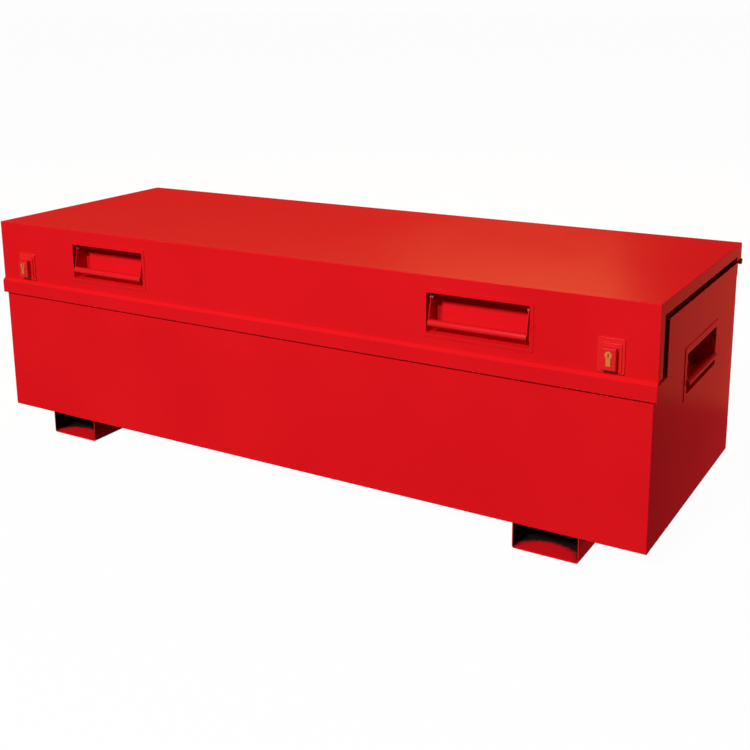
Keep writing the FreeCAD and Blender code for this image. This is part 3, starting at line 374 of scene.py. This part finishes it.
def glow_share(tree, seen, mirrored):
    """How much of a backdrop's own glow a ray meets: a share for the camera, and one for reflections."""
    path = add(tree, "ShaderNodeLightPath").outputs
    reflected = add(
        tree, "ShaderNodeMath", {"operation": "MAXIMUM"},
        _0=path["Is Glossy Ray"], _1=path["Is Transmission Ray"],
    )
    direct = add(tree, "ShaderNodeMath", {"operation": "MULTIPLY"}, _0=path["Is Camera Ray"], _1=seen)
    return add(tree, "ShaderNodeMath", {"operation": "MULTIPLY_ADD"}, _0=reflected, _1=mirrored, _2=direct)


# Matt paper under a glow of its own: white to the eye, with a faint shadow, and in reflections a painted grey
# shade and a painted warm reflection.
white_floor, tree, place = new_material("white_floor")
seen = add(tree, "ShaderNodeLightPath").outputs["Is Camera Ray"]
colour = add(
    tree, "ShaderNodeMix", {"data_type": "RGBA"}, Factor=seen, A=linear(PAPER_FOR_BOX), B=linear(PAPER_SEEN),
)
paper = add(tree, "ShaderNodeBsdfDiffuse", Color=colour)
axes = add(tree, "ShaderNodeSeparateXYZ", Vector=place)
past_box = []
for axis, edge in (("X", cad_high.x), ("Y", cad_high.y)):
    from_centre = add(tree, "ShaderNodeMath", {"operation": "ABSOLUTE"}, _0=axes.outputs[axis])
    past_box.append(add(tree, "ShaderNodeMath", {"operation": "SUBTRACT"}, _0=from_centre, _1=edge))
past_end, past_side = past_box
furthest = add(tree, "ShaderNodeMath", {"operation": "MAXIMUM"}, _0=past_end, _1=past_side)
# painted light: in reflections the floor's glow turns from a painted grey shade near the box to a painted
# warm reflection further out
painted_light_share = add(
    tree, "ShaderNodeMapRange", {"interpolation_type": "SMOOTHSTEP"},
    Value=furthest, From_Min=PAINTED_SHADE_ENDS - PAINTED_SHADE_FADES, From_Max=PAINTED_SHADE_ENDS,
)
painted_reflection = add(
    tree, "ShaderNodeMix", {"data_type": "RGBA"}, Factor=painted_light_share, A=linear(PAINTED_SHADE_GREY), B=linear(PAINTED_WARM_REFLECTION),
)
colour = add(tree, "ShaderNodeMix", {"data_type": "RGBA"}, Factor=seen, A=painted_reflection, B=linear(WHITE))
glow = add(tree, "ShaderNodeEmission", Color=colour)
mixed = add(
    tree, "ShaderNodeMixShader", Fac=glow_share(tree, SEEN_GLOW, MIRRORED_GLOW), _1=paper, _2=glow,
)
add(tree, "ShaderNodeOutputMaterial", Surface=mixed)
floor_mesh.materials.append(white_floor)

# Light
# A soft key from far out in front, two warm panels behind that the lid mirrors, and a small one for the right
# end. The room around them is dim and grey, and is white only where the camera sees past the floor.
ROOM = ((0.0, "#403C2C"), (0.4, "#484540"), (1.0, "#545454"))   # its colour from the horizon to straight up
ROOM_WHITE = 0.985         # strength of the white around it,
SEEN_ROOM_WHITE = 1.0      # how much of that the camera sees,
MIRRORED_ROOM_WHITE = 0.02     # and how much of it reflections show

world = bpy.data.worlds.new("studio")
world.use_nodes = True
world.node_tree.nodes.clear()
scene.world = world
tree = world.node_tree
heading = add(tree, "ShaderNodeTexCoord").outputs["Generated"]
upward = add(tree, "ShaderNodeSeparateXYZ", Vector=heading).outputs["Z"]
room = add(tree, "ShaderNodeValToRGB", Fac=upward)
ramp = room.color_ramp
while len(ramp.elements) < len(ROOM):
    ramp.elements.new(1.0)
for element, (height, colour) in zip(ramp.elements, ROOM):
    element.position = height
    element.color = linear(colour)
dim = add(tree, "ShaderNodeBackground", Color=room)
white = add(tree, "ShaderNodeBackground", Color=linear(WHITE), Strength=ROOM_WHITE)
mixed = add(
    tree, "ShaderNodeMixShader",
    Fac=glow_share(tree, SEEN_ROOM_WHITE, MIRRORED_ROOM_WHITE), _1=dim, _2=white,
)
add(tree, "ShaderNodeOutputWorld", Surface=mixed)

box_middle = (cad_low + cad_high) / 2


def soft_light(name, where, width, height, watts, colour):
    """A rectangular soft light that faces the middle of the box."""
    lamp = bpy.data.lights.new(name, "AREA")
    lamp.shape = "RECTANGLE"
    lamp.size = width
    lamp.size_y = height
    lamp.energy = watts
    lamp.color = linear(colour)[:-1]
    holder = bpy.data.objects.new(name, lamp)
    holder.location = where
    holder.rotation_euler = (box_middle - Vector(where)).to_track_quat("-Z", "Y").to_euler()
    holder.visible_camera = False
    scene.collection.objects.link(holder)


soft_light("key", where=(-0.9, -12.8, 8.9), width=2.4, height=1.8, watts=2820.0, colour=WHITE)
soft_light("rear_light", where=(-1.5, 4.75, 3.42), width=1.8, height=1.6, watts=170.0, colour="#FFA868")
soft_light("rear_wall", where=(-3.8, 4.75, 3.05), width=6.4, height=1.4, watts=100.0, colour="#FF9E60")
soft_light("end_light", where=(3.5, 2.4, 0.35), width=1.2, height=0.5, watts=68.0, colour=WHITE)

# Camera
# A lens of normal length, a little over a metre above the floor and to the right of the front.
# It is turned as in the photograph, whose middle isn't on the line of sight, so the lens is shifted too.
LENS_PIXELS = 1128.79
PICTURE_PIXELS = 750
SENSOR_MM = 36.0
SHIFT_ACROSS = 0.035       # shares of the picture's width
SHIFT_UP = -0.15
CAMERA_PLACE = (1.64518, -2.63471, 1.26636)
TURN = 0.55527             # radians: to the left of straight back,
DIP = 0.22672              # down from level,
ROLL = -0.01443            # and about the line of sight
MATRIX_SIZE = 4
camera = bpy.data.cameras.new("camera")
camera.sensor_width = SENSOR_MM
camera.lens = LENS_PIXELS / PICTURE_PIXELS * SENSOR_MM
camera.shift_x = SHIFT_ACROSS
camera.shift_y = SHIFT_UP
view = bpy.data.objects.new("camera", camera)
turned = Matrix.Rotation(TURN, MATRIX_SIZE, "Z")
tipped = Matrix.Rotation(math.pi / 2 - DIP, MATRIX_SIZE, "X")
rolled = Matrix.Rotation(ROLL, MATRIX_SIZE, "Z")
view.matrix_world = Matrix.Translation(CAMERA_PLACE) @ turned @ tipped @ rolled
scene.collection.objects.link(view)
scene.camera = view
scene.view_settings.view_transform = "Standard"
